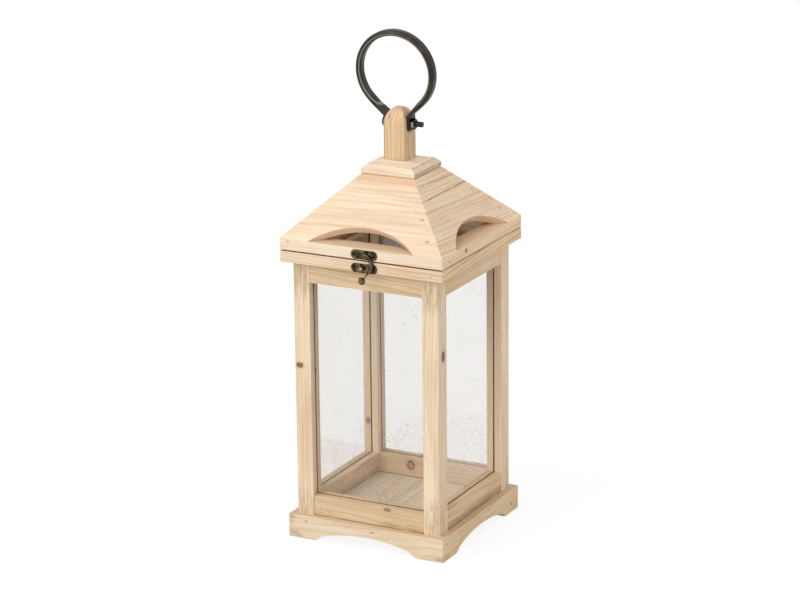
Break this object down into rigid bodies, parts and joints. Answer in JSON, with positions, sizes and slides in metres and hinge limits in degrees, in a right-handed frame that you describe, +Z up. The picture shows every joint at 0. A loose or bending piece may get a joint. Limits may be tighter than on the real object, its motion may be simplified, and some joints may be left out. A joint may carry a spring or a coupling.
{
  "type": "wooden candle lantern",
  "caption": "Square glazed wooden lantern on a plinth with bracket feet, under a hinged hipped roof with arched vents, a front latch and an iron carrying ring.",
  "frame": {"origin": "middle of the footprint, on the ground", "axes": "+Z up, -Y the front with the latch, +Y the back with the hinges, +X the right-hand side seen from the front"},
  "size_m": [0.2, 0.2165, 0.5737],
  "materials": {
    "fir_plinth": "planed, unvarnished softwood, slightly aged",
    "fir_floor": "planed, unvarnished softwood, slightly aged",
    "fir_posts": "planed, unvarnished softwood, slightly aged",
    "fir_rails": "planed, unvarnished softwood, slightly aged",
    "pane_glass": "clear window glass, a little dusty",
    "fir_beads": "planed, unvarnished softwood, slightly aged",
    "fir_collar": "planed, unvarnished softwood, slightly aged",
    "fir_roof_rim": "planed, unvarnished softwood, slightly aged",
    "fir_roof_panels": "planed, unvarnished softwood, slightly aged",
    "fir_cap": "planed, unvarnished softwood, slightly aged",
    "fir_finial": "planed, unvarnished softwood, slightly aged",
    "ring_iron": "dark forged iron, worn to a dull sheen",
    "bolt_iron": "dark oiled iron",
    "latch_bronze": "dark antique bronze",
    "stud_brass": "aged brass",
    "hinge_bronze": "dark antique bronze"
  },
  "bodies": {
    "body": {"plinth_front": "fir_plinth", "plinth_right": "fir_plinth", "plinth_back": "fir_plinth", "plinth_left": "fir_plinth", "floor_board": "fir_floor", "post_front_left": "fir_posts", "post_front_right": "fir_posts", "post_back_right": "fir_posts", "post_back_left": "fir_posts", "lower_rail_front": "fir_rails", "lower_rail_right": "fir_rails", "lower_rail_back": "fir_rails", "lower_rail_left": "fir_rails", "upper_rail_front": "fir_rails", "upper_rail_right": "fir_rails", "upper_rail_back": "fir_rails", "upper_rail_left": "fir_rails", "glass_front": "pane_glass", "glass_right": "pane_glass", "glass_back": "pane_glass", "glass_left": "pane_glass", "glazing_bead_front": "fir_beads", "glazing_bead_right": "fir_beads", "glazing_bead_back": "fir_beads", "glazing_bead_left": "fir_beads", "collar_front": "fir_collar", "collar_right": "fir_collar", "collar_back": "fir_collar", "collar_left": "fir_collar", "latch_plate_lower": "latch_bronze", "latch_stud": "stud_brass", "latch_screws_lower": "latch_bronze", "hinge_leaf_lower_left": "hinge_bronze", "hinge_leaf_lower_right": "hinge_bronze", "hinge_pins": "hinge_bronze", "hinge_screws_lower": "hinge_bronze"},
    "roof": {"roof_rim_front": "fir_roof_rim", "roof_rim_right": "fir_roof_rim", "roof_rim_back": "fir_roof_rim", "roof_rim_left": "fir_roof_rim", "roof_panel_front": "fir_roof_panels", "roof_panel_right": "fir_roof_panels", "roof_panel_back": "fir_roof_panels", "roof_panel_left": "fir_roof_panels", "roof_cap": "fir_cap", "finial_post": "fir_finial", "ring_bolt": "bolt_iron", "ring_nut": "bolt_iron", "latch_plate_upper": "latch_bronze", "latch_rivet": "latch_bronze", "latch_screws_upper": "latch_bronze", "hinge_leaf_upper_left": "hinge_bronze", "hinge_leaf_upper_right": "hinge_bronze", "hinge_screws_upper": "hinge_bronze"},
    "ring": {"ring_handle": "ring_iron"},
    "latch": {"latch_arm": "latch_bronze"}
  },
  "joints": [
    {"name": "roof_hinge", "type": "hinge", "parent": "body", "child": "roof", "pos_m": [0, 0.10275, 0.3365], "axis": [-1, 0, 0], "range_deg": [0, 175]},
    {"name": "latch_swing", "type": "hinge", "parent": "roof", "child": "latch", "pos_m": [0.0053, -0.1, 0.3435], "axis": [0, -1, 0], "range_deg": [-18, 115]},
    {"name": "ring_swing", "type": "hinge", "parent": "roof", "child": "ring", "pos_m": [-0.0016, 0, 0.4685], "axis": [1, 0, 0], "range_deg": [-142, 134]}
  ]
}
